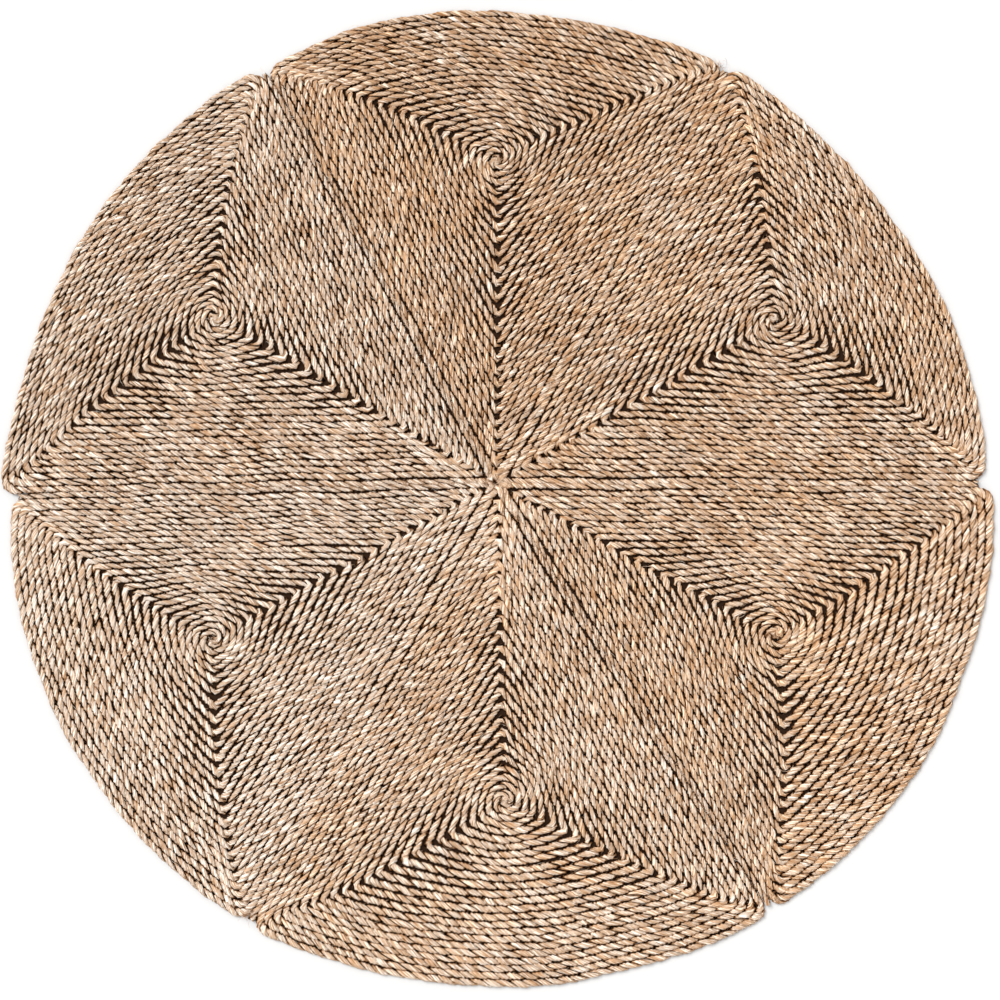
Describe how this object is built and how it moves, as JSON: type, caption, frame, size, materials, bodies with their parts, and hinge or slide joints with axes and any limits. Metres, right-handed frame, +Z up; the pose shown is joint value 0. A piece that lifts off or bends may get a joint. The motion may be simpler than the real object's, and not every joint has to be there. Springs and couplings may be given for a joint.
{
  "type": "round jute rug",
  "caption": "Round flat rug of wedge panels wound from twisted jute rope and sewn side by side.",
  "frame": {"origin": "middle of the rug's outline, on the floor", "axes": "+Z up out of the floor, +Y towards the top panel, +X towards the right-hand seam"},
  "size_m": [1.5082, 1.4825, 0.0095],
  "materials": {
    "jute_rope": "dry, matt, fibrous natural rope"
  },
  "bodies": {
    "root": {"panel_right_upper": "jute_rope", "panel_top": "jute_rope", "panel_left_upper": "jute_rope", "panel_left_lower": "jute_rope", "panel_bottom": "jute_rope", "panel_right_lower": "jute_rope"}
  },
  "joints": []
}
